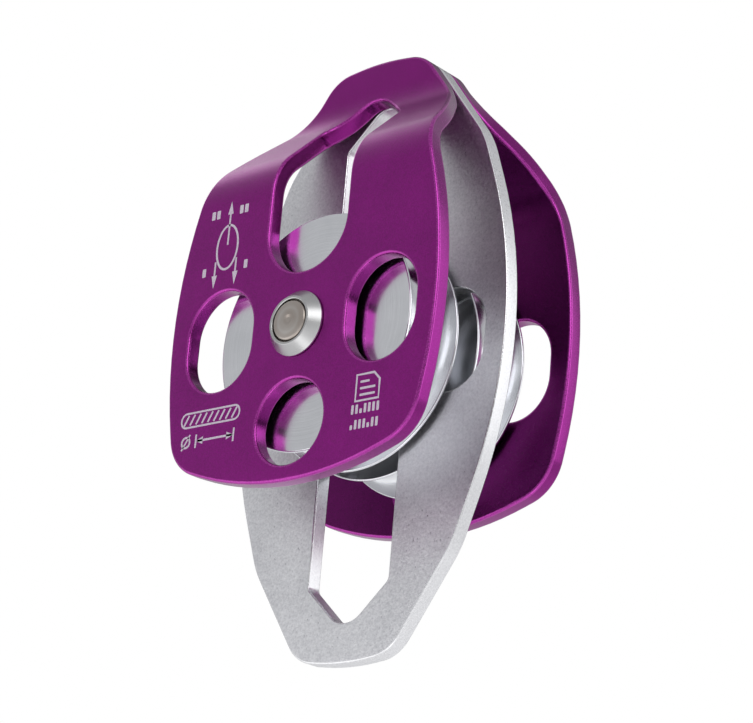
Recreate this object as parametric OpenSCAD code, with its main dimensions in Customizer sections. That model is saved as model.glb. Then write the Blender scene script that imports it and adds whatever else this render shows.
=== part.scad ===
// Double rope pulley: a flat centre plate, two joggled cheeks that swing about one riveted axle,
// and a wide grooved sheave on two sealed ball bearings in each of the two slots between them.
// +Z is towards the carabiner eye and +Y is along the axle, towards the back cheek. The origin is
// the axle's centre, in the middle of the centre plate.

/* [Plates] */
// Greatest width of all three plates
plate_w = 80; // [78:1:84]
// Thickness of the centre plate and of each cheek
plate_t = 4; // [3:0.5:4.5]
// Height of the plates' tops above the axle
top_z = 73; // [72.4:0.2:76]
// Lowest edge of the centre plate, at the becket
becket_z = -72.2; // [-74:0.2:-72]
// Lowest edge of the cheeks
cheek_low_z = -37; // [-39:0.5:-36]
// Space between the centre plate and a cheek, where the sheave turns
slot_w = 20; // [20:0.5:21]

/* [Holes] */
// Width of the carabiner eye and of the becket window
eye_w = 23.6; // [20:0.4:24.8]
// Lowest point of the carabiner eye
eye_low_z = 12.9; // [12.1:0.2:14.1]
// Highest point of the carabiner eye
eye_high_z = 62.4; // [60.8:0.2:63]
// Lowest point of the becket window
window_low_z = -62.8; // [-63.2:0.2:-60]
// Distance of a side opening's centre from the axle
side_x = 24.2; // [23:0.2:25]
// Width of a side opening
side_w = 20; // [16:0.5:20]
// Height of a side opening
side_h = 24.5; // [21:0.5:24.5]
// Diameter of the round hole below the axle
low_hole_d = 19.9; // [16.4:0.5:19.9]
// Depth of the round hole's centre below the axle
low_hole_z = -22.8; // [-23.4:0.1:-22]

/* [Bend] */
// Height at which a cheek starts to lean in towards the centre plate
bend_low_z = 40.3; // [39.3:0.2:41.3]
// Height at which it is upright again
bend_high_z = 59.4; // [58.4:0.2:60.4]
// Radius of both bends at mid thickness
bend_r = 14; // [10:0.5:15]
// Gap between a cheek's upper end and the centre plate
lap_gap = 0.3; // [0.2:0.1:0.5]

/* [Sheaves] */
// Diameter of a sheave over its rims
sheave_d = 56.4; // [54:0.2:57]
// Width of a sheave
sheave_w = 17.4; // [17:0.1:18.8]
// Radius of the rope groove
groove_r = 7.8; // [7:0.1:8]

/* [Axle] */
// Diameter of the axle pin
pin_d = 10; // [9:0.5:10]
// Diameter of the collars' sleeves, on which the cheeks swing
sleeve_d = 12; // [11.5:0.5:13]
// Diameter of a collar's base
collar_d = 15.4; // [15:0.2:17]
// Height of a collar above its cheek
collar_h = 2.9; // [2.5:0.1:4]

/* [Hidden] */
$fn = 96;
arc_step = 4;             // degrees of a rounded corner in one straight step
fit = 0.05;               // radial running clearance of each bore on its shaft
play = 0.1;               // axial play of a cheek between its collar and its washer
eps = 1;                  // how far a cutter runs past the face that it cuts

half_t = plate_t / 2;
cheek_in = half_t + slot_w;
cheek_out = cheek_in + plate_t;
lap_y = half_t + lap_gap + half_t;
cheek_y = cheek_in + half_t;
sheave_in = half_t + (slot_w - sheave_w) / 2;
sheave_out = sheave_in + sheave_w;

// Ball bearing of 10 x 22 x 6 mm
race_w = 6;
race_r = 11;
ball_d = 3.175;
ball_count = 9;
ball_orbit_r = 8;
ball_track_r = ball_d / 2 + fit;
land_in_r = 7;            // outside of the inner race beside its track
land_out_r = 9;           // inside of the outer race beside its track
seal_t = 0.35;
seal_seat_r = 9.45;
seal_seat_d = 0.5;
cage_w = 4.2;
cage_in_r = 7.5;
cage_out_r = 8.5;
bearing_inset = 0.75;     // depth of a bearing's face below the sheave's face
bearing_in = sheave_in + bearing_inset;              // nearer face of the inner bearing
bearing_out = sheave_out - bearing_inset - race_w;   // nearer face of the outer bearing
washer_r = 6.6;
thrust_r = 7.3;
shoulder_r = 9.5;

// ---- outlines ----

function unit(v) = v / norm(v);

// The arc that rounds corner b between a and c. A corner is [x, z, radius].
function corner_arc(a, b, c) =
    let (
        p = [b[0], b[1]],
        u = unit([a[0], a[1]] - p),
        w = unit([c[0], c[1]] - p),
        inside = acos(u * w),
        r = b[2],
        centre = p + unit(u + w) * r / sin(inside / 2),
        start = p + u * r / tan(inside / 2) - centre,
        turn = 180 - inside,
        way = u[0] * w[1] - u[1] * w[0] > 0 ? -1 : 1,
        steps = max(2, ceil(turn / arc_step)),
        from = atan2(start[1], start[0])
    )
    [for (i = [0:steps]) centre + r * [cos(from + way * turn * i / steps),
                                       sin(from + way * turn * i / steps)]];

function rounded(v) =
    let (n = len(v))
    [for (i = [0:n - 1]) each corner_arc(v[(i + n - 1) % n], v[i], v[(i + 1) % n])];

// Corners of the right half, from the lowest to the highest, with their mirror images.
function both_sides(right) =
    concat(
        right,
        [for (i = [len(right) - 1:-1:0]) if (right[i][0] > 0) [-right[i][0], right[i][1], right[i][2]]]
    );

// Upper part of every plate: a shoulder, a straight slope and a rounded top.
shoulder_x = plate_w / 2 - 9.8;
end_x = 13.7;             // corner of the narrow end
end_drop = 1.3;           // how much lower that corner is than the middle of the end
end_bow = 0.35;           // height that rounding takes off the middle of the end
upper_corners = [
    [shoulder_x, top_z - 23.6, 25],
    [end_x, top_z - end_drop, 10],
    [0, top_z + end_bow, 60]
];

cheek_corners = concat(
    [
        [0, cheek_low_z - 4.7, 83],
        [plate_w / 2 - 4.4, cheek_low_z + 7.7, 12],
        [plate_w / 2 + 4.6, 12.6, 112]
    ],
    upper_corners
);

plate_corners = concat(
    [
        [0, becket_z - end_bow, 60],
        [end_x, becket_z + end_drop, 10],
        [shoulder_x - 1.1, becket_z + 24.1, 25],
        [plate_w / 2 + 6.8, 1.6, 112]
    ],
    upper_corners
);

// Eye with a round end nearer the axle and a peaked end away from it, which centres what hangs there.
peak_r = 6.2;
peak_rise = 2.2;          // height that rounding takes off the peak
peak_h = 11;              // height of the peak's corner over the eye's straight sides
round_r = eye_w / 2 - 0.01;
eye_corners = [
    [eye_w / 2, eye_low_z, round_r],
    [eye_w / 2, eye_high_z + peak_rise - peak_h, 2],
    [0, eye_high_z + peak_rise, peak_r]
];
window_corners = [
    [0, window_low_z - peak_rise, peak_r],
    [eye_w / 2, window_low_z - peak_rise + peak_h, 2],
    [eye_w / 2, -eye_low_z, round_r]
];

// ---- placing ----

// Stands a drawing in x and z upright, filling y from y0 to y1.
module upright(y0, y1) {
    translate([0, y1, 0])
        rotate([90, 0, 0])
            linear_extrude(y1 - y0)
                children();
}

// Turns a drawing in radius and y about the axle.
module turned() {
    rotate([-90, 0, 0])
        rotate_extrude()
            children();
}

module ring(y0, y1, r0, r1) {
    turned()
        translate([r0, y0])
            square([r1 - r0, y1 - y0]);
}

// Back-side shapes are drawn as they are, and front-side ones are their mirror image.
module on_side(side) {
    if (side == "front")
        mirror([0, 1, 0])
            children();
    else
        children();
}

// ---- plates ----

module side_openings() {
    straight = (side_h - side_w) / 2;
    for (x = [-side_x, side_x]) {
        for (z = [-straight, straight])
            translate([x, z])
                circle(d = side_w);
        translate([x - side_w / 2, -straight])
            square([side_w, side_h - side_w]);
    }
}

module drilled(y0, y1, d) {
    translate([0, y0, 0])
        rotate([-90, 0, 0])
            cylinder(h = y1 - y0, d = d);
}

module centre_plate() {
    color("gainsboro")
        difference() {
            upright(-half_t, half_t)
                polygon(rounded(both_sides(plate_corners)));
            upright(-plate_t, plate_t) {
                polygon(rounded(both_sides(eye_corners)));
                polygon(rounded(both_sides(window_corners)));
                side_openings();
            }
            drilled(-plate_t, plate_t, pin_d + 2 * fit);
        }
}

// Edge of the bent sheet, in y and z: a flat lower part, a lean towards the centre plate and a flat lap.
// Each face of the sheet is half a thickness off the middle line.
function sheet_face(off) =
    let (
        lean = atan((cheek_y - lap_y) / (bend_high_z - bend_low_z)),
        shift = off * tan(lean / 2),
        a = [cheek_y + off, cheek_low_z - eps, 0],
        b = [cheek_y + off, bend_low_z + shift, bend_r + off],
        c = [lap_y + off, bend_high_z + shift, bend_r - off],
        d = [lap_y + off, top_z + eps, 0]
    )
    concat([[a[0], a[1]]], corner_arc(a, b, c), corner_arc(b, c, d), [[d[0], d[1]]]);

function reversed(v) = [for (i = [len(v) - 1:-1:0]) v[i]];

module bent_sheet() {
    translate([-plate_w / 2 - eps, 0, 0])
        rotate([90, 0, 90])
            linear_extrude(plate_w + 2 * eps)
                polygon(concat(sheet_face(half_t), reversed(sheet_face(-half_t))));
}

module cheek(side) {
    color("purple")
        on_side(side)
            difference() {
                intersection() {
                    bent_sheet();
                    upright(0, cheek_out + eps)
                        polygon(rounded(both_sides(cheek_corners)));
                }
                upright(-eps, cheek_out + 2 * eps) {
                    polygon(rounded(both_sides(eye_corners)));
                    side_openings();
                    translate([0, low_hole_z])
                        circle(d = low_hole_d);
                }
                drilled(cheek_in - eps, cheek_out + eps, sleeve_d + 2 * fit);
            }
}

// ---- axle ----

// Riveted pin: both ends are turned down a little and slightly domed, with a shallow dimple.
module axle_pin() {
    end_r = pin_d / 2 - 0.25;
    neck_y = cheek_out + 0.6;
    end_y = cheek_out + play + collar_h;
    dome_h = 0.4;
    dimple_r = 1.1;
    dimple_d = 0.6;
    color("lightsteelblue")
        turned()
            polygon([
                [0, dimple_d - end_y - dome_h],
                [dimple_r, -end_y - dome_h],
                [end_r - 1.2, -end_y - dome_h / 2],
                [end_r, dome_h - end_y],
                [end_r, -neck_y],
                [pin_d / 2, -neck_y],
                [pin_d / 2, neck_y],
                [end_r, neck_y],
                [end_r, end_y - dome_h],
                [end_r - 1.2, end_y + dome_h / 2],
                [dimple_r, end_y + dome_h],
                [0, end_y + dome_h - dimple_d]
            ]);
}

// Conical head outside the cheek, with the sleeve that the cheek swings on.
module collar(side) {
    bore_r = pin_d / 2 + fit;
    head_y = cheek_out + play;
    top_y = head_y + collar_h;
    foot_h = 0.5;
    flat_r = 5.7;
    color("silver")
        on_side(side)
            turned()
                polygon([
                    [bore_r, cheek_in - play],
                    [sleeve_d / 2, cheek_in - play],
                    [sleeve_d / 2, head_y],
                    [collar_d / 2, head_y],
                    [collar_d / 2, head_y + foot_h],
                    [flat_r, top_y],
                    [bore_r, top_y]
                ]);
}

// ---- sheaves and what they run on ----

// Grooved wheel with a bearing seat at each face and a shoulder between the two bearings.
module sheave(side) {
    rim_r = sheave_d / 2;
    middle = (sheave_in + sheave_out) / 2;
    rim_chamfer = 0.5;
    color("lightgray")
        on_side(side)
            turned()
                difference() {
                    polygon([
                        [shoulder_r, sheave_in],
                        [rim_r - rim_chamfer, sheave_in],
                        [rim_r, sheave_in + rim_chamfer],
                        [rim_r, sheave_out - rim_chamfer],
                        [rim_r - rim_chamfer, sheave_out],
                        [shoulder_r, sheave_out]
                    ]);
                    translate([rim_r, middle])
                        circle(r = groove_r);
                    translate([0, sheave_in - eps])
                        square([race_r + fit, bearing_in + race_w - sheave_in + eps]);
                    translate([0, bearing_out])
                        square([race_r + fit, sheave_out - bearing_out + eps]);
                }
}

module plate_washer(side) {
    color("darkgray")
        on_side(side)
            ring(half_t, bearing_in, pin_d / 2 + fit, washer_r);
}

module race_spacer(side) {
    color("darkgray")
        on_side(side)
            ring(bearing_in + race_w, bearing_out, pin_d / 2 + fit, washer_r);
}

module thrust_washer(side) {
    color("darkgray")
        on_side(side)
            ring(bearing_out + race_w, cheek_in - play, pin_d / 2 + fit, thrust_r);
}

// ---- ball bearing ----

function bearing_face(place) = place == "inner" ? bearing_in : bearing_out;

// Track that the balls roll in, as a ring cut into a race.
module ball_track(middle) {
    turned()
        translate([ball_orbit_r, middle])
            circle(r = ball_track_r);
}

module each_ball(middle) {
    for (i = [0:ball_count - 1])
        rotate([0, i * 360 / ball_count, 0])
            translate([ball_orbit_r, middle, 0])
                children();
}

module outer_race(side, place) {
    face = bearing_face(place);
    color("silver")
        on_side(side)
            difference() {
                ring(face, face + race_w, land_out_r, race_r);
                ball_track(face + race_w / 2);
                ring(face - eps, face + seal_seat_d, land_out_r - eps, seal_seat_r);
                ring(face + race_w - seal_seat_d, face + race_w + eps, land_out_r - eps, seal_seat_r);
            }
}

module inner_race(side, place) {
    face = bearing_face(place);
    color("silver")
        on_side(side)
            difference() {
                ring(face, face + race_w, pin_d / 2 + fit, land_in_r);
                ball_track(face + race_w / 2);
            }
}

module balls(side, place) {
    middle = bearing_face(place) + race_w / 2;
    color("white")
        on_side(side)
            each_ball(middle)
                sphere(d = ball_d);
}

module cage(side, place) {
    middle = bearing_face(place) + race_w / 2;
    color("goldenrod")
        on_side(side)
            difference() {
                ring(middle - cage_w / 2, middle + cage_w / 2, cage_in_r, cage_out_r);
                each_ball(middle)
                    rotate([0, 90, 0])
                        cylinder(r = ball_track_r, h = 4 * ball_track_r, center = true);
            }
}

module seals(side, place) {
    face = bearing_face(place);
    rest = seal_seat_d - seal_t;
    color("dimgray")
        on_side(side) {
            ring(face + rest, face + seal_seat_d, land_in_r + fit, seal_seat_r - fit);
            ring(face + race_w - seal_seat_d, face + race_w - rest, land_in_r + fit, seal_seat_r - fit);
        }
}

centre_plate();
axle_pin();
for (side = ["front", "back"]) {
    cheek(side);
    collar(side);
    sheave(side);
    plate_washer(side);
    race_spacer(side);
    thrust_washer(side);
    for (place = ["inner", "outer"]) {
        bearing = str(side, "_", place, "_bearing");
        outer_race(side, place);
        inner_race(side, place);
        balls(side, place);
        cage(side, place);
        seals(side, place);
    }
}
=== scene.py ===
import math

import bmesh
import bpy
from mathutils import Matrix, Vector


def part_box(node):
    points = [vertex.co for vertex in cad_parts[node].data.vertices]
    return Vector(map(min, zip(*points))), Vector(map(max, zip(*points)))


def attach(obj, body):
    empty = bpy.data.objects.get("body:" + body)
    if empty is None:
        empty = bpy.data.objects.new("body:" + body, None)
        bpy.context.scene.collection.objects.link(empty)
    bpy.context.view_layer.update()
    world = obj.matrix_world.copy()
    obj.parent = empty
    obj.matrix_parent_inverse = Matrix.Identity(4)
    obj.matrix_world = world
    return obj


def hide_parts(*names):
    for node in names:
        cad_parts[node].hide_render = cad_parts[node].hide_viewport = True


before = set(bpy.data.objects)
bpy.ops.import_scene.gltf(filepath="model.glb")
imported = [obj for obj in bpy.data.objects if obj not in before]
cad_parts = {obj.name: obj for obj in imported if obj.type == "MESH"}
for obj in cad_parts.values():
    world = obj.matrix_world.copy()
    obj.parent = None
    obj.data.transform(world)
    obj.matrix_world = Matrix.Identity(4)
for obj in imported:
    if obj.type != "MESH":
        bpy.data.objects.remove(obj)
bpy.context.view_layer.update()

# Everything below is in metres. MM turns a length in millimetres into metres.
MM = 0.001
SIDES = {"front": -1, "back": 1}

# ---- sizes read from the frame ----

plate_low, plate_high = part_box("centre_plate")
cheek_low, cheek_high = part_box("back_cheek")
sheave_low, sheave_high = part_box("back_sheave")
collar_low, collar_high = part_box("back_collar")
pin_low, pin_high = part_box("axle_pin")

PLATE_T = plate_high.y - plate_low.y
TOP_Z = plate_high.z
BECKET_Z = plate_low.z
CHEEK_LOW_Z = cheek_low.z
CHEEK_OUT = cheek_high.y
CHEEK_MID = CHEEK_OUT - PLATE_T / 2
LAP_MID = cheek_low.y + PLATE_T / 2
RIM_R = sheave_high.x
PIN_R = pin_high.x

# ---- sizes of the design that a box doesn't give ----

HALF_W = 40 * MM                # half the width of the plates, before their sides bulge
EYE_R = 11.8 * MM               # half the width of the eye and of the becket window
EYE_LOW_Z = 12.9 * MM
EYE_HIGH_Z = 62.4 * MM
WINDOW_LOW_Z = -62.8 * MM
PEAK_RISE = 2.2 * MM            # from the eye's rounded peak up to the sharp one
PEAK_H = 11 * MM                # height of the part that narrows to the peak
PEAK_R = 6.2 * MM
SIDE_X = 24.2 * MM              # centre of a side opening
SIDE_R = 10 * MM
SIDE_H = 12.25 * MM             # half its height
LOW_HOLE_Z = -22.8 * MM
LOW_HOLE_R = 9.95 * MM
BEND_LOW_Z = 40.3 * MM
BEND_HIGH_Z = 59.4 * MM
BEND_R = 14 * MM
BEND_REACH = 7 * MM             # how far past the bends' heights their round parts may run
GROOVE_R = 7.8 * MM
SEAT_R = 11.05 * MM             # a sheave's seat for a bearing
SEAT_DEPTH = 6.75 * MM
SHOULDER_R = 9.5 * MM           # the rib between a sheave's two seats
SLEEVE_R = 6 * MM
COLLAR_FLAT_R = 5.7 * MM        # where a collar's cone meets its flat end
COLLAR_FOOT_H = 0.5 * MM
CHEEK_PLAY = 0.1 * MM           # between a cheek and its collar
FIT = 0.05 * MM                 # between a bore and its shaft
CHEEK_EDGE_R = 0.65 * MM
PLATE_EDGE_R = 0.4 * MM


# ---- outlines ----

FULL = 0.998                    # share of half the width that rounds an end, so that its arcs don't touch


def corner_arc(a, b, c, step=2.5):
    """Points of the arc that rounds corner b, between a and c. A corner is (x, z, radius)."""
    p, r = Vector(b[:2]), b[2]
    if r == 0:
        return [p]
    u = (Vector(a[:2]) - p).normalized()
    w = (Vector(c[:2]) - p).normalized()
    inside = math.acos(max(-1.0, min(1.0, u.dot(w))))
    centre = p + (u + w).normalized() * (r / math.sin(inside / 2))
    start = p + u * (r / math.tan(inside / 2)) - centre
    turn = math.pi - inside
    way = -1 if u.x * w.y - u.y * w.x > 0 else 1
    steps = max(3, math.ceil(math.degrees(turn) / step))
    first = math.atan2(start.y, start.x)
    turns = [first + way * turn * i / steps for i in range(steps + 1)]
    return [centre + Vector((math.cos(t), math.sin(t))) * r for t in turns]


def rounded(corners, step=2.5):
    """Points of the closed outline through the corners, each rounded in steps of step degrees."""
    n = len(corners)
    arcs = [corner_arc(corners[i - 1], corners[i], corners[(i + 1) % n], step) for i in range(n)]
    return [point for arc in arcs for point in arc]


def both_sides(right):
    """The corners of the right half, with their mirror images."""
    return right + [(-x, z, r) for x, z, r in reversed(right) if x > 0]


def circle(x, z, r, count=96):
    return [
        Vector((x + r * math.cos(2 * math.pi * i / count), z + r * math.sin(2 * math.pi * i / count)))
        for i in range(count)
    ]


UPPER = [
    (HALF_W - 9.8 * MM, TOP_Z - 23.6 * MM, 25 * MM),
    (13.7 * MM, TOP_Z - 1.3 * MM, 10 * MM),
    (0, TOP_Z + 0.35 * MM, 60 * MM),
]
CHEEK_OUTLINE = both_sides([
    (0, CHEEK_LOW_Z - 4.7 * MM, 83 * MM),
    (HALF_W - 4.4 * MM, CHEEK_LOW_Z + 7.7 * MM, 12 * MM),
    (HALF_W + 4.6 * MM, 12.6 * MM, 112 * MM),
    *UPPER,
])
PLATE_OUTLINE = both_sides([
    (0, BECKET_Z - 0.35 * MM, 60 * MM),
    (13.7 * MM, BECKET_Z + 1.3 * MM, 10 * MM),
    (HALF_W - 10.9 * MM, BECKET_Z + 24.1 * MM, 25 * MM),
    (HALF_W + 6.8 * MM, 1.6 * MM, 112 * MM),
    *UPPER,
])
EYE = both_sides([
    (EYE_R, EYE_LOW_Z, FULL * EYE_R),
    (EYE_R, EYE_HIGH_Z + PEAK_RISE - PEAK_H, 2 * MM),
    (0, EYE_HIGH_Z + PEAK_RISE, PEAK_R),
])
WINDOW = both_sides([
    (0, WINDOW_LOW_Z - PEAK_RISE, PEAK_R),
    (EYE_R, WINDOW_LOW_Z - PEAK_RISE + PEAK_H, 2 * MM),
    (EYE_R, -EYE_LOW_Z, FULL * EYE_R),
])


def side_opening(side):
    x = side * SIDE_X
    return [
        (x - SIDE_R, -SIDE_H, FULL * SIDE_R),
        (x + SIDE_R, -SIDE_H, FULL * SIDE_R),
        (x + SIDE_R, SIDE_H, FULL * SIDE_R),
        (x - SIDE_R, SIDE_H, FULL * SIDE_R),
    ]


# ---- materials ----

NOISE_LOW, NOISE_HIGH = 0.3, 0.7


class Shader:
    """A Principled material, with short ways to add the nodes that all the finishes use."""

    def __init__(self, name, **sockets):
        self.material = bpy.data.materials.new(name)
        self.material.use_nodes = True
        self.nodes = self.material.node_tree.nodes
        self.links = self.material.node_tree.links
        self.bsdf = self.nodes["Principled BSDF"]
        for socket, value in sockets.items():
            self.bsdf.inputs[socket.replace("_", " ")].default_value = value
        self.place = self.nodes.new("ShaderNodeTexCoord").outputs["Object"]

    def link(self, a, b):
        self.links.new(a, b)

    def math(self, operation, a, b=0.0):
        node = self.nodes.new("ShaderNodeMath")
        node.operation = operation
        for socket, value in zip(node.inputs, (a, b)):
            if isinstance(value, bpy.types.NodeSocket):
                self.link(value, socket)
            else:
                socket.default_value = value
        return node.outputs[0]

    def noise(self, size, detail=2.0, roughness=0.5):
        """Noise whose grains are about size metres across."""
        node = self.nodes.new("ShaderNodeTexNoise")
        node.inputs["Scale"].default_value = 1 / size
        node.inputs["Detail"].default_value = detail
        node.inputs["Roughness"].default_value = roughness
        self.link(self.place, node.inputs["Vector"])
        return node.outputs["Fac"]

    def turning(self, size):
        """Fine rings about the axle, as a lathe leaves them, size metres apart."""
        along_axle = 1.37           # walls that run along the axle get rings too
        axes = self.nodes.new("ShaderNodeSeparateXYZ")
        self.link(self.place, axes.inputs[0])
        x, y, z = axes.outputs
        squares = [self.math("MULTIPLY", part, part) for part in (x, z)]
        radius = self.math("SQRT", self.math("ADD", *squares))
        node = self.nodes.new("ShaderNodeTexNoise")
        node.noise_dimensions = "1D"
        node.inputs["Scale"].default_value = 1 / size
        node.inputs["Detail"].default_value = 3
        self.link(self.math("ADD", radius, self.math("MULTIPLY", y, along_axle)), node.inputs["W"])
        return node.outputs["Fac"]

    def mixed(self, a, b, share):
        """Two noises added, with share of the second."""
        return self.math("ADD", self.math("MULTIPLY", a, 1 - share), self.math("MULTIPLY", b, share))

    def span(self, value, low, high):
        """Maps a noise's usual range to low..high."""
        node = self.nodes.new("ShaderNodeMapRange")
        node.inputs["From Min"].default_value = NOISE_LOW
        node.inputs["From Max"].default_value = NOISE_HIGH
        node.inputs["To Min"].default_value = low
        node.inputs["To Max"].default_value = high
        self.link(value, node.inputs["Value"])
        return node.outputs["Result"]

    def colours(self, value, dark, light):
        """Base colour that runs from dark to light over a noise's usual range."""
        ramp = self.nodes.new("ShaderNodeValToRGB")
        ramp.color_ramp.elements[0].position = NOISE_LOW
        ramp.color_ramp.elements[1].position = NOISE_HIGH
        ramp.color_ramp.elements[0].color = (*dark, 1)
        ramp.color_ramp.elements[1].color = (*light, 1)
        self.link(value, ramp.inputs["Fac"])
        self.link(ramp.outputs["Color"], self.bsdf.inputs["Base Color"])

    def roughness(self, value, low, high):
        self.link(self.span(value, low, high), self.bsdf.inputs["Roughness"])

    def bump(self, value, height):
        node = self.nodes.new("ShaderNodeBump")
        node.inputs["Distance"].default_value = height
        self.link(value, node.inputs["Height"])
        self.link(node.outputs["Normal"], self.bsdf.inputs["Normal"])

    def round_tangent(self):
        """Brushed direction that runs round the axle."""
        node = self.nodes.new("ShaderNodeTangent")
        node.direction_type = "RADIAL"
        node.axis = "Y"
        self.link(node.outputs["Tangent"], self.bsdf.inputs["Tangent"])


def scaled(colour, by):
    return tuple(min(1.0, c * by) for c in colour)


def blended(a, b, share):
    return tuple(x + (y - x) * share for x, y in zip(a, b))


PURPLE = (0.285, 0.007, 0.232)
WORN_AND_SHEEN = (0.62, 0.50, 0.60)       # where the dye has rubbed thin, and painted sheen on the edges


def anodised(name, roughness, grain, depth=1.0, wear_and_sheen=0.0):
    """Dyed oxide over a fine etch: a coloured metal under a thin clear layer. depth scales its colour: a
    copy with depth below 1 is painted shade, one above 1 painted highlight. The pale tone blended into
    the lighter end pales it in specks, for rubbed dye and painted sheen.
    """
    s = Shader(name, Metallic=1.0, Coat_Weight=0.26 * depth, Coat_Roughness=0.24, Coat_IOR=1.6)
    speck = s.noise(0.3 * MM, 3, 0.65)
    cloud = s.noise(9 * MM, 2)
    light = blended(scaled(PURPLE, 1.28 * depth), WORN_AND_SHEEN, wear_and_sheen)
    s.colours(s.mixed(speck, cloud, 0.2), scaled(PURPLE, 0.74 * depth), light)
    s.roughness(speck, roughness - 0.05, roughness + 0.07)
    s.bump(speck, grain)
    return s.material


def blasted():
    """Bead-blasted bare aluminium, with tiny facets that catch the light."""
    s = Shader("blasted_aluminium", Metallic=1.0)
    speck = s.noise(0.6 * MM, 5, 0.75)
    cloud = s.noise(12 * MM, 3)
    s.colours(s.mixed(speck, cloud, 0.2), (0.60, 0.60, 0.63), (0.98, 0.98, 1.0))
    s.roughness(speck, 0.27, 0.43)
    s.bump(speck, 0.07 * MM)
    return s.material


def cut_aluminium(name, roughness):
    """Walls and edges of the centre plate, cut and then tumbled."""
    s = Shader(name, Metallic=1.0)
    speck = s.noise(0.4 * MM, 3, 0.65)
    s.colours(speck, (0.74, 0.74, 0.76), (0.94, 0.94, 0.96))
    s.roughness(speck, roughness - 0.06, roughness + 0.08)
    s.bump(speck, 0.03 * MM)
    return s.material


def turned(name, dark, light, roughness, ring, height, brushed):
    """Metal turned on a lathe about the axle."""
    s = Shader(name, Metallic=1.0, Anisotropic=brushed)
    rings = s.turning(ring)
    cloud = s.noise(6 * MM, 2)
    s.colours(s.mixed(rings, cloud, 0.4), dark, light)
    s.roughness(cloud, roughness - 0.04, roughness + 0.05)
    s.bump(rings, height)
    s.round_tangent()
    return s.material


def laser_mark():
    """Frosted pale mark that a laser leaves in the dye."""
    s = Shader("laser_mark", Specular_IOR_Level=0.3)
    speck = s.noise(0.16 * MM, 2)
    s.colours(speck, (0.50, 0.42, 0.52), (0.74, 0.66, 0.76))
    s.roughness(speck, 0.5, 0.7)
    s.bump(speck, 0.01 * MM)
    return s.material


def rubber():
    s = Shader("seal_rubber", Specular_IOR_Level=0.4)
    speck = s.noise(0.3 * MM, 3)
    s.colours(speck, (0.012, 0.012, 0.014), (0.03, 0.03, 0.034))
    s.roughness(speck, 0.5, 0.7)
    s.bump(speck, 0.01 * MM)
    return s.material


def nylon():
    s = Shader("cage_nylon", Subsurface_Weight=0.1)
    speck = s.noise(0.8 * MM, 3)
    s.colours(speck, (0.42, 0.38, 0.29), (0.60, 0.55, 0.44))
    s.roughness(speck, 0.4, 0.55)
    s.bump(speck, 0.01 * MM)
    return s.material


ANODISED_FACE = anodised("purple_anodised", 0.37, 0.03 * MM)
# Cut walls: a slightly darker copy of the dyed finish, painted shade.
ANODISED_WALL_SHADED = anodised("purple_anodised_wall_shaded", 0.22, 0.008 * MM, depth=0.9)
# Rounded edges: a lighter copy, paler in specks: painted highlight along the edges, with rubbed dye.
ANODISED_EDGE_HIGHLIGHT = anodised("purple_anodised_edge_highlight", 0.27, 0.003 * MM, depth=1.5, wear_and_sheen=0.10)
# Inner faces, towards the centre plate: a much darker copy, painted shade between the plates.
ANODISED_INNER_SHADE = anodised("purple_anodised_inner_shade", 0.30, 0.02 * MM, depth=0.45)
BLASTED = blasted()
CUT = cut_aluminium("cut_aluminium", 0.32)
TUMBLED = cut_aluminium("tumbled_aluminium_edge", 0.22)
SHEAVE = turned("machined_aluminium", (0.76, 0.77, 0.80), (0.90, 0.91, 0.94), 0.17,
                0.25 * MM, 0.001 * MM, 0.3)
STEEL = turned("turned_steel", (0.44, 0.44, 0.44), (0.66, 0.66, 0.66), 0.30, 0.16 * MM, 0.0012 * MM, 0.35)
PIN_STEEL = turned("riveted_steel", (0.38, 0.31, 0.26), (0.58, 0.55, 0.52), 0.32, 3 * MM, 0.003 * MM, 0.1)
BEARING_STEEL = turned("bearing_steel", (0.52, 0.53, 0.55), (0.70, 0.71, 0.73), 0.16,
                       0.12 * MM, 0.0008 * MM, 0.2)
RUBBER = rubber()
NYLON = nylon()
MARK = laser_mark()


# ---- making pieces ----

def add_object(name, mesh, body, replaces=None):
    piece = bpy.data.objects.new(name, mesh)
    bpy.context.scene.collection.objects.link(piece)
    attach(piece, body)
    if replaces:
        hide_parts(replaces)
    return piece


def smooth(piece, angle=32):
    """Rounded edges shade smoothly and flat faces stay flat."""
    for face in piece.data.polygons:
        face.use_smooth = True
    piece.data.set_sharp_from_angle(angle=math.radians(angle))
    modifier = piece.modifiers.new("flat_faces", "WEIGHTED_NORMAL")
    modifier.keep_sharp = True
    modifier.weight = 80


def outline_mesh(name, loops, thickness, edge_r):
    """A flat plate with rounded edges. x and z are the outline's and y is its depth, centred on 0."""
    curve = bpy.data.curves.new(name, "CURVE")
    curve.dimensions = "2D"
    curve.fill_mode = "BOTH"
    curve.extrude = thickness / 2 - edge_r
    curve.bevel_depth = edge_r
    curve.bevel_resolution = 2
    curve.offset = -edge_r
    for loop in loops:
        spline = curve.splines.new("POLY")
        spline.points.add(len(loop) - 1)
        spline.use_cyclic_u = True
        for point, p in zip(spline.points, loop):
            point.co = (p.x, p.y, 0, 1)
    holder = bpy.data.objects.new(name, curve)
    bpy.context.scene.collection.objects.link(holder)
    bpy.context.view_layer.update()
    shown = holder.evaluated_get(bpy.context.evaluated_depsgraph_get())
    mesh = bpy.data.meshes.new_from_object(shown)
    bpy.data.objects.remove(holder)
    mesh.transform(Matrix.Rotation(math.pi / 2, 4, "X"))
    mesh.name = name
    mesh.materials.clear()
    return mesh


def clean(bm):
    bmesh.ops.remove_doubles(bm, verts=bm.verts, dist=0.002 * MM)
    bmesh.ops.recalc_face_normals(bm, faces=bm.faces)


def set_wall_material(bm):
    """Material 0 goes on the two faces, 1 on the cut walls and 2 on their rounded edges."""
    for face in bm.faces:
        slant = abs(face.normal.y)
        face.material_index = 0 if slant > 0.97 else 1 if slant < 0.1 else 2


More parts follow.
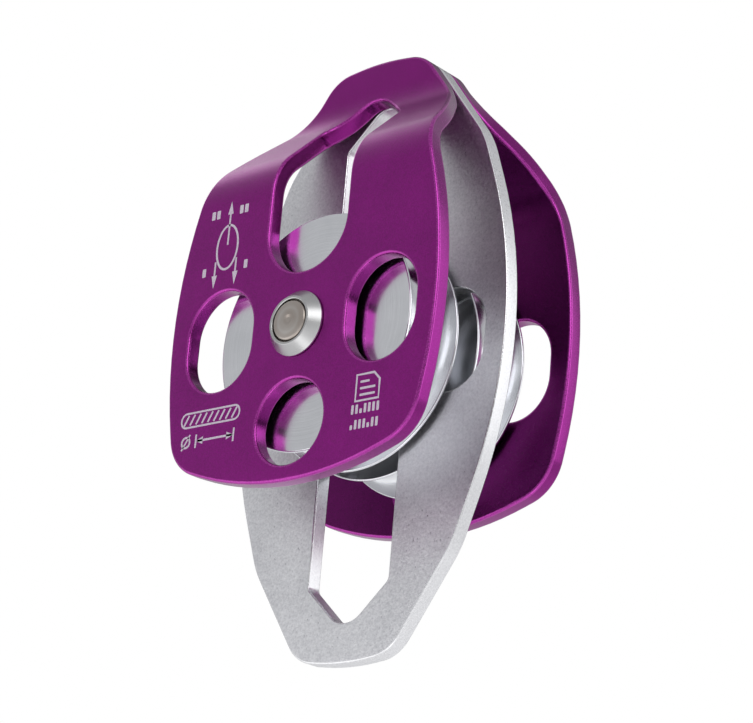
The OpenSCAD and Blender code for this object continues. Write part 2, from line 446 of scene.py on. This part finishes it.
def bent(z):
    """Where the cheek's middle sheet is at height z: its y on the back side, and its lean in radians."""
    lean = math.atan((CHEEK_MID - LAP_MID) / (BEND_HIGH_Z - BEND_LOW_Z))
    reach = BEND_R * math.tan(lean / 2)
    low_start, low_end = BEND_LOW_Z - reach, BEND_LOW_Z + reach * math.cos(lean)
    high_start, high_end = BEND_HIGH_Z - reach * math.cos(lean), BEND_HIGH_Z + reach
    if z <= low_start:
        return CHEEK_MID, 0.0
    if z >= high_end:
        return LAP_MID, 0.0
    if z < low_end:
        turn = math.asin((z - low_start) / BEND_R)
        return CHEEK_MID - BEND_R * (1 - math.cos(turn)), turn
    if z > high_start:
        turn = math.asin((high_end - z) / BEND_R)
        return LAP_MID + BEND_R * (1 - math.cos(turn)), turn
    return CHEEK_MID - (z - BEND_LOW_Z) * math.tan(lean), lean


def make_cheek(side):
    """A flat plate that is cut across at many heights and then bent. Material 3 is its inner face, a much
    darker copy of the finish: painted shade.
    """
    way = SIDES[side]
    loops = [
        rounded(CHEEK_OUTLINE),
        rounded(EYE),
        rounded(side_opening(-1)),
        rounded(side_opening(1)),
        circle(0, LOW_HOLE_Z, LOW_HOLE_R),
        circle(0, 0, SLEEVE_R + FIT, 64),
    ]
    mesh = outline_mesh(side + "_cheek_shell", loops, PLATE_T, CHEEK_EDGE_R)
    bm = bmesh.new()
    bm.from_mesh(mesh)
    clean(bm)
    set_wall_material(bm)
    # The inner face takes the darker copy: painted shade.
    for face in bm.faces:
        if face.normal.y < -0.97:
            face.material_index = 3
    cuts = 64
    low, high = BEND_LOW_Z - BEND_REACH, BEND_HIGH_Z + BEND_REACH
    for i in range(cuts + 1):
        level = (0, 0, low + (high - low) * i / cuts)
        parts = bm.verts[:] + bm.edges[:] + bm.faces[:]
        bmesh.ops.bisect_plane(bm, geom=parts, plane_co=level, plane_no=(0, 0, 1), dist=0.001 * MM)
    for v in bm.verts:
        middle, lean = bent(v.co.z)
        depth = v.co.y
        v.co.y = middle + depth * math.cos(lean)
        v.co.z = v.co.z + depth * math.sin(lean)
        v.co.y *= way
    if way < 0:
        bmesh.ops.reverse_faces(bm, faces=bm.faces)
    bm.to_mesh(mesh)
    bm.free()
    for finish in (ANODISED_FACE, ANODISED_WALL_SHADED, ANODISED_EDGE_HIGHLIGHT, ANODISED_INNER_SHADE):
        mesh.materials.append(finish)
    piece = add_object(side + "_cheek_shell", mesh, side + "_cheek", side + "_cheek")
    smooth(piece)


def make_centre_plate():
    loops = [
        rounded(PLATE_OUTLINE),
        rounded(EYE),
        rounded(WINDOW),
        rounded(side_opening(-1)),
        rounded(side_opening(1)),
        circle(0, 0, PIN_R + FIT, 64),
    ]
    mesh = outline_mesh("centre_plate_body", loops, PLATE_T, PLATE_EDGE_R)
    bm = bmesh.new()
    bm.from_mesh(mesh)
    clean(bm)
    set_wall_material(bm)
    bm.to_mesh(mesh)
    bm.free()
    for finish in (BLASTED, CUT, TUMBLED):
        mesh.materials.append(finish)
    piece = add_object("centre_plate_body", mesh, "frame", "centre_plate")
    smooth(piece)


def lathe_mesh(name, profile, material, segments=160):
    """Turns a profile of (radius, y) points about the axle. A point at radius 0 closes the end."""
    bm = bmesh.new()
    rings = []
    for r, y in profile:
        if r < 1e-7:
            rings.append([bm.verts.new((0, y, 0))])
            continue
        turns = [2 * math.pi * i / segments for i in range(segments)]
        rings.append([bm.verts.new((r * math.cos(t), y, r * math.sin(t))) for t in turns])
    for a, b in zip(rings, rings[1:] + rings[:1]):
        if len(a) == 1 and len(b) == 1:
            continue
        for i in range(segments):
            j = (i + 1) % segments
            corners = [a[i % len(a)], a[j % len(a)], b[j % len(b)], b[i % len(b)]]
            bm.faces.new(list(dict.fromkeys(corners)))
    bmesh.ops.recalc_face_normals(bm, faces=bm.faces)
    mesh = bpy.data.meshes.new(name)
    bm.to_mesh(mesh)
    bm.free()
    mesh.materials.append(material)
    return mesh


def make_sheave(side):
    way = SIDES[side]
    near, far = sheave_low.y, sheave_high.y
    lip = (far - near) / 2 - GROOVE_R
    rim_edge_r, seat_edge_r = 0.35 * MM, 0.3 * MM
    floor_r = RIM_R - GROOVE_R
    floor_corner_r = 0.97 * GROOVE_R
    profile = rounded([
        (SEAT_R, near, seat_edge_r),
        (RIM_R, near, rim_edge_r),
        (RIM_R, near + lip, rim_edge_r),
        (floor_r, near + lip, floor_corner_r),
        (floor_r, far - lip, floor_corner_r),
        (RIM_R, far - lip, rim_edge_r),
        (RIM_R, far, rim_edge_r),
        (SEAT_R, far, seat_edge_r),
        (SEAT_R, far - SEAT_DEPTH, 0),
        (SHOULDER_R, far - SEAT_DEPTH, 0),
        (SHOULDER_R, near + SEAT_DEPTH, 0),
        (SEAT_R, near + SEAT_DEPTH, 0),
    ], step=10)
    mesh = lathe_mesh(side + "_sheave_wheel", [(p.x, way * p.y) for p in profile], SHEAVE, 192)
    node = side + "_sheave"
    smooth(add_object(node + "_wheel", mesh, node, node), 40)


def make_collar(side):
    way = SIDES[side]
    foot, top = CHEEK_OUT + CHEEK_PLAY, collar_high.y
    base_r = collar_high.x
    bore_r = PIN_R + FIT
    profile = rounded([
        (bore_r, collar_low.y, 0),
        (SLEEVE_R, collar_low.y, 0),
        (SLEEVE_R, foot, 0),
        (base_r, foot, 0.15 * MM),
        (base_r, foot + COLLAR_FOOT_H, 0.2 * MM),
        (COLLAR_FLAT_R, top, 0.25 * MM),
        (bore_r, top, 0.3 * MM),
    ], step=10)
    mesh = lathe_mesh(side + "_collar_cone", [(p.x, way * p.y) for p in profile], STEEL)
    smooth(add_object(side + "_collar_cone", mesh, "frame", side + "_collar"), 40)


def make_axle_pin():
    """The pin, with a dimple and a rounded rim at each end, inside the collars."""
    end = pin_high.y
    end_r = PIN_R - 0.25 * MM
    neck = CHEEK_OUT + 0.6 * MM
    dimple_r, dimple_d = 1.3 * MM, 0.22 * MM
    middle = (0, end - dimple_d)
    foot = (0.45 * dimple_r, end - dimple_d)
    brim = (dimple_r, end)
    shoulder = (end_r - 0.5 * MM, end - 0.25 * MM)
    rim = (end_r, end - 0.35 * MM)
    root = (end_r, neck)
    half = [Vector(middle)]
    half += corner_arc(middle, (*foot, 0.5 * MM), brim, 12)
    half += corner_arc(foot, (*brim, 0.9 * MM), shoulder, 12)
    half += corner_arc(brim, (*rim, 0.7 * MM), root, 8)
    half += [Vector(root), Vector((PIN_R, neck))]
    profile = half + [Vector((p.x, -p.y)) for p in reversed(half)]
    mesh = lathe_mesh("axle_pin_body", [(p.x, p.y) for p in profile], PIN_STEEL, 128)
    smooth(add_object("axle_pin_body", mesh, "frame", "axle_pin"), 40)


# ---- generic laser marks on the front cheek ----

# strip() takes metres. The shapes made with at() and box_loop() are given in millimetres.
MARK_UP = 0.03 * MM


def strip(points, width, closed=False):
    """Outline loops of a line of that width along the points."""
    half = width / 2
    n = len(points)
    left, right = [], []
    for i, p in enumerate(points):
        before = points[i - 1] if closed or i else p
        after = points[(i + 1) % n] if closed or i < n - 1 else p
        along = (after - before).normalized()
        across = Vector((-along.y, along.x)) * half
        left.append(p + across)
        right.append(p - across)
    return [left, right] if closed else [left + right[::-1]]


def at(x, z):
    return Vector((x * MM, z * MM))


def box_loop(x0, z0, x1, z1, r=0.2):
    """Rectangle with rounded corners."""
    r = min(r, 0.49 * (x1 - x0), 0.49 * (z1 - z0))
    corners = [(x0, z0), (x1, z0), (x1, z1), (x0, z1)]
    return rounded([(x * MM, z * MM, r * MM) for x, z in corners], 30)


def arrow(x, z0, z1, width=0.5, head_w=1.7, head_h=3.2):
    """Upright arrow from z0 to its tip at z1."""
    way = 1 if z1 > z0 else -1
    neck = z1 - way * head_h
    return [
        [at(x - width / 2, z0), at(x + width / 2, z0), at(x + width / 2, neck), at(x - width / 2, neck)],
        [at(x - head_w / 2, neck), at(x, z1), at(x + head_w / 2, neck)],
    ]


def ellipse(x, z, rx, rz, width, count=48):
    turns = [2 * math.pi * i / count for i in range(count)]
    return strip([at(x + rx * math.cos(t), z + rz * math.sin(t)) for t in turns], width * MM, closed=True)


def weights(x, z, count):
    """Row of small blocks that stands for a load."""
    return [[box_loop(x + 1.6 * i, z, x + 1.6 * i + 1.1, z + 2.1)] for i in range(count)]


def load_diagram():
    """Sheave with the pull on the eye above and on the two rope ends below."""
    x = -24.9
    shapes = [ellipse(x, 23.4, 3.3, 5.5, 0.55)]
    shapes += [[loop] for loop in arrow(x, 24, 34.9)]
    for side in (-1, 1):
        shapes += [[loop] for loop in arrow(x + side * 3.3, 20.2, 13.6)]
    shapes += weights(-31.0, 31.2, 2) + weights(-22.0, 31.2, 2)
    shapes += weights(-32.2, 17.0, 1) + weights(-18.9, 17.0, 1)
    return shapes


def rope_sign():
    """A length of laid rope, above a diameter sign and a dimension arrow."""
    x0, x1, z0, z1 = -33.6, -15.4, -19.9, -16.5
    corners = [(x0, z0), (x1, z0), (x1, z1), (x0, z1)]
    outline = rounded([(x * MM, z * MM, 1.6 * MM) for x, z in corners], 15)
    shapes = [strip(outline, 0.45 * MM, closed=True)]
    strands = 9
    for i in range(strands):
        x = x0 + 1.6 + (x1 - x0 - 3.2) * i / (strands - 1)
        shapes.append(strip([at(x - 0.7, z0 + 0.5), at(x + 0.7, z1 - 0.5)], 0.5 * MM))
    z = -23.5
    shapes.append(ellipse(-31.6, z, 1.25, 1.25, 0.5, 32))
    shapes.append(strip([at(-32.8, z - 1.8), at(-30.4, z + 1.8)], 0.45 * MM))
    shapes.append(strip([at(-28.0, z), at(-17.0, z)], 0.5 * MM))
    for tip, way in ((-28.4, 1), (-16.6, -1)):
        barb = tip + way * 2.2
        shapes.append([[at(tip, z), at(barb, z + 0.9), at(barb, z - 0.9)][::way]])
        shapes.append(strip([at(tip, z - 1.6), at(tip, z + 1.6)], 0.5 * MM))
    return shapes


def care_sign():
    """A sheet with three lines on it, above two rows of tick marks."""
    frame_line = [at(19.4, -21.2), at(26.0, -21.2), at(26.0, -16.9), at(24.3, -15.2), at(19.4, -15.2)]
    shapes = [strip(frame_line, 0.55 * MM, closed=True)]
    for i, length in enumerate((2.6, 4.4, 4.4)):
        z = -16.9 - 1.5 * i
        shapes.append([box_loop(20.5, z - 0.26, 20.5 + length, z + 0.26)])
    for z, heights in ((-24.1, "2212222"), (-27.6, "1222122")):
        for i, h in enumerate(heights):
            x = 18.5 + 1.2 * i
            shapes.append([box_loop(x, z, x + 0.7, z + 1.05 * int(h))])
    return shapes


def make_marks():
    """All the marks as one piece. Each is let into the face and stands MARK_UP above it."""
    bm = bmesh.new()
    for loops in load_diagram() + rope_sign() + care_sign():
        mesh = outline_mesh("mark", loops, 2 * MARK_UP, 0)
        bm.from_mesh(mesh)
        bpy.data.meshes.remove(mesh)
    clean(bm)
    bmesh.ops.translate(bm, verts=bm.verts, vec=(0, -CHEEK_OUT, 0))
    mesh = bpy.data.meshes.new("front_cheek_marks")
    bm.to_mesh(mesh)
    bm.free()
    mesh.materials.append(MARK)
    add_object("front_cheek_marks", mesh, "front_cheek")


make_centre_plate()
make_axle_pin()
for side in SIDES:
    make_cheek(side)
    make_sheave(side)
    make_collar(side)
make_marks()

# ---- finishes of the CAD nodes that stay ----

FINISHES = {
    "race": BEARING_STEEL,
    "balls": BEARING_STEEL,
    "washer": BEARING_STEEL,
    "spacer": BEARING_STEEL,
    "cage": NYLON,
    "seals": RUBBER,
}
for name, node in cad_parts.items():
    for word, finish in FINISHES.items():
        if name.endswith(word):
            node.data.materials.clear()
            node.data.materials.append(finish)

# ---- floor, light and camera ----

floor_mesh = bpy.data.meshes.new("floor")
FLOOR_HALF = 30.0
FLOOR_Z = -0.55
floor_corners = ((-1, -1), (1, -1), (1, 1), (-1, 1))
floor_points = [(x * FLOOR_HALF, y * FLOOR_HALF, FLOOR_Z) for x, y in floor_corners]
floor_mesh.from_pydata(floor_points, [], [(0, 1, 2, 3)])
floor = bpy.data.objects.new("floor", floor_mesh)
bpy.context.scene.collection.objects.link(floor)
floor_finish = Shader("floor_paper", Base_Color=(0.86, 0.86, 0.86, 1), Emission_Color=(1, 1, 1, 1))
floor_finish.bsdf.inputs["Emission Strength"].default_value = 0.3
floor_finish.roughness(floor_finish.noise(3 * MM), 0.85, 0.95)
floor_mesh.materials.append(floor_finish.material)


def soft_light(name, direction, distance, size, watts):
    data = bpy.data.lights.new(name, "AREA")
    data.shape = "SQUARE"
    data.size = size
    data.energy = watts
    lamp = bpy.data.objects.new(name, data)
    bpy.context.scene.collection.objects.link(lamp)
    way = Vector(direction).normalized()
    lamp.location = way * distance
    lamp.rotation_mode = "QUATERNION"
    lamp.rotation_quaternion = way.to_track_quat("Z", "Y")
    lamp.visible_camera = False


soft_light("key_softbox", (0.68, -0.56, 0.46), 1.3, 0.7, 3.1)
soft_light("side_softbox", (0.80, 0.52, 0.28), 1.3, 0.9, 2.7)
soft_light("top_softbox", (-0.74, 0.20, 0.64), 1.3, 0.6, 1.5)
soft_light("low_softbox", (0.20, -0.46, -0.86), 0.5, 0.24, 0.16)
soft_light("low_left_softbox", (-0.64, -0.70, -0.33), 0.6, 0.46, 0.35)

AMBIENT = 0.52                  # light that comes from all round, and what polished metal mirrors
DARK_SIDES = [                  # way to a dark part of the studio, where it fades out and ends, its share
    ((0.635, -0.70, -0.325), 0.70, 0.90, 0.15),
    ((-0.52, 0.50, 0.69), 0.88, 0.98, 0.25),
]


def make_world():
    """Even light that darkens towards DARK_SIDES. The camera sees plain white behind everything."""
    world = bpy.data.worlds.new("studio")
    world.use_nodes = True
    bpy.context.scene.world = world
    tree = world.node_tree
    way = tree.nodes.new("ShaderNodeTexCoord")
    dim = tree.nodes["Background"]
    dim.inputs["Color"].default_value = (0.97, 0.98, 1.0, 1)
    level = None
    for direction, fade, full, share in DARK_SIDES:
        facing = tree.nodes.new("ShaderNodeVectorMath")
        facing.operation = "DOT_PRODUCT"
        facing.inputs[1].default_value = direction
        lit = tree.nodes.new("ShaderNodeMapRange")
        lit.inputs["From Min"].default_value = fade
        lit.inputs["From Max"].default_value = full
        lit.inputs["To Min"].default_value = 1.0
        lit.inputs["To Max"].default_value = share
        both = tree.nodes.new("ShaderNodeMath")
        both.operation = "MULTIPLY"
        both.inputs[1].default_value = AMBIENT
        tree.links.new(way.outputs["Generated"], facing.inputs[0])
        tree.links.new(facing.outputs["Value"], lit.inputs["Value"])
        tree.links.new(lit.outputs["Result"], both.inputs[0])
        if level is not None:
            tree.links.new(level, both.inputs[1])
        level = both.outputs[0]
    tree.links.new(level, dim.inputs["Strength"])
    pale = tree.nodes.new("ShaderNodeBackground")
    pale.inputs["Color"].default_value = (1, 1, 1, 1)
    pale.inputs["Strength"].default_value = 1.0
    seen = tree.nodes.new("ShaderNodeLightPath")
    choice = tree.nodes.new("ShaderNodeMixShader")
    tree.links.new(seen.outputs["Is Camera Ray"], choice.inputs["Fac"])
    tree.links.new(dim.outputs["Background"], choice.inputs[1])
    tree.links.new(pale.outputs["Background"], choice.inputs[2])
    tree.links.new(choice.outputs["Shader"], tree.nodes["World Output"].inputs["Surface"])


make_world()
bpy.context.scene.view_settings.view_transform = "Standard"

AZIMUTH, ELEVATION, ROLL = math.radians(42.0), math.radians(-19.0), math.radians(4.9)
TARGET = Vector((4.8, -4.0, -2.7)) * MM
DISTANCE = 0.575
FOCAL_LENGTH = 120.7
back = Vector((
    math.sin(AZIMUTH) * math.cos(ELEVATION),
    -math.cos(AZIMUTH) * math.cos(ELEVATION),
    math.sin(ELEVATION),
))
level_right = (-back).cross(Vector((0, 0, 1))).normalized()
level_up = level_right.cross(-back)
right = level_right * math.cos(ROLL) + level_up * math.sin(ROLL)
up = level_up * math.cos(ROLL) - level_right * math.sin(ROLL)
lens = bpy.data.cameras.new("camera")
lens.sensor_width = 36
lens.lens = FOCAL_LENGTH
lens.clip_start = 0.05
lens.clip_end = 50
camera = bpy.data.objects.new("camera", lens)
bpy.context.scene.collection.objects.link(camera)
turn = Matrix((right, up, back)).transposed().to_4x4()
camera.matrix_world = Matrix.Translation(TARGET + back * DISTANCE) @ turn
bpy.context.scene.camera = camera
